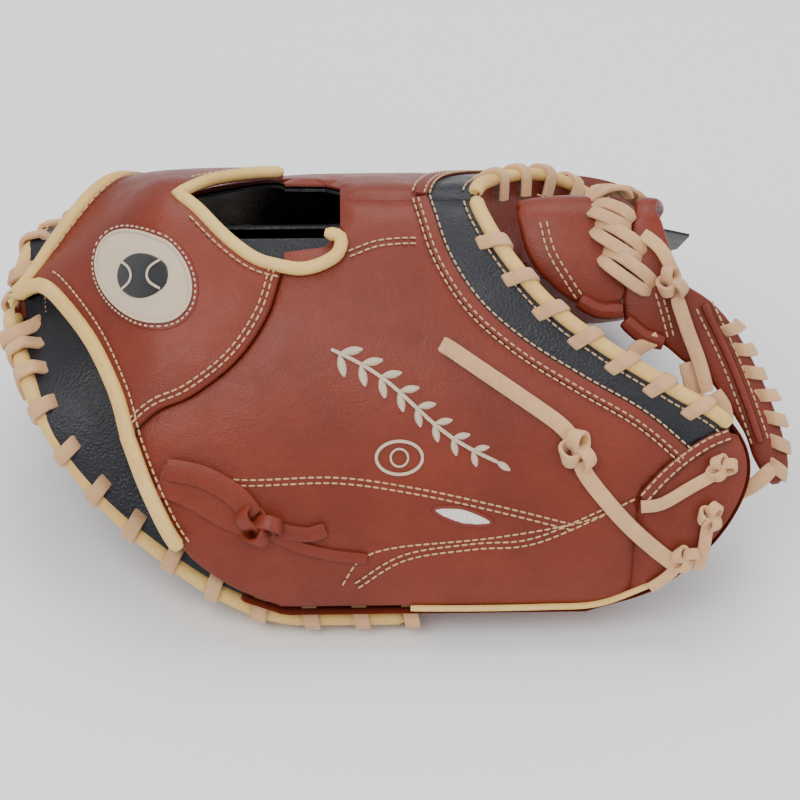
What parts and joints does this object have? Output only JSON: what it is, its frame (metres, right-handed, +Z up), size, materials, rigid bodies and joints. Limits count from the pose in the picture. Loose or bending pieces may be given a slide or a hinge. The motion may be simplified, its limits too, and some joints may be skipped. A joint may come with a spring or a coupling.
{
  "type": "baseball catchers mitt",
  "caption": "Folded left-hand catcher's mitt: padded thumb and finger halves hinged along a soft fold, laced web, heel lacing, wrist strap with open back",
  "frame": {"origin": "centre of the footprint, on the floor under both rims", "axes": "+X from wrist to fingertips along the fold, +Y towards the finger half, +Z up"},
  "size_m": [0.3084, 0.218, 0.1479],
  "materials": {
    "brown_leather": "smooth full-grain leather with a soft sheen",
    "black_leather": "fine grained black leather",
    "binding_leather": "rolled tan binding leather",
    "lace_leather": "pale rawhide lace with suede edges",
    "padding": "felted wool and foam pad",
    "wool_felt": "white wool felt",
    "cream_thread": "cream embroidery thread and twill",
    "black_thread": "black embroidery thread"
  },
  "bodies": {
    "thumb_side": {"thumb_palm_leather": "brown_leather", "thumb_palm_pad": "padding", "thumb_palm_liner": "black_leather", "thumb_back": "brown_leather", "thumb_back_lining": "black_leather", "thumb_tip_panel": "brown_leather", "thumb_web_band": "black_leather", "thumb_band_tape": "brown_leather", "thumb_tip_tape": "brown_leather", "thumb_web_binding": "binding_leather", "thumb_web_lace": "lace_leather", "thumb_piping": "binding_leather", "thumb_heel_binding": "binding_leather", "thumb_heel_lace": "lace_leather", "thumb_slot_felt": "wool_felt", "thumb_embroidery": "cream_thread", "thumb_lace_run": "lace_leather", "thumb_lace_tail": "lace_leather", "thumb_pull_strap": "brown_leather", "wrist_strap": "brown_leather", "wrist_strap_lining": "black_leather", "strap_wrist_binding": "binding_leather", "strap_hand_binding": "binding_leather", "patch_ground": "cream_thread", "patch_border": "brown_leather", "patch_emblem": "black_thread", "pocket_leather": "brown_leather"},
    "finger_side": {"finger_palm_leather": "brown_leather", "finger_palm_pad": "padding", "finger_palm_liner": "black_leather", "finger_back": "brown_leather", "finger_back_lining": "black_leather", "finger_web_band": "black_leather", "finger_band_tape": "brown_leather", "finger_web_binding": "binding_leather", "finger_web_lace": "lace_leather", "finger_piping": "binding_leather", "finger_heel_binding": "binding_leather", "finger_heel_lace": "lace_leather"},
    "web": {"web_base": "brown_leather", "web_bridge": "brown_leather", "web_cap": "brown_leather", "web_lace_thumb": "lace_leather", "web_lace_finger": "lace_leather", "web_cap_lace": "lace_leather"}
  },
  "joints": [
    {"name": "mitt_fold", "type": "hinge", "parent": "thumb_side", "child": "finger_side", "pos_m": [0, 0, 0.14191], "axis": [1, 0, 0], "range_deg": [-20, 40], "deforming": ["wrist_strap", "wrist_strap_lining", "strap_wrist_binding", "strap_hand_binding", "pocket_leather"]},
    {"name": "web_fold", "type": "hinge", "parent": "thumb_side", "child": "web", "pos_m": [0, 0, 0.14191], "axis": [1, 0, 0], "range_deg": [-10, 20]}
  ],
  "couplings": [
    {"joint": "web_fold", "follows": "mitt_fold", "ratio": 0.5}
  ]
}
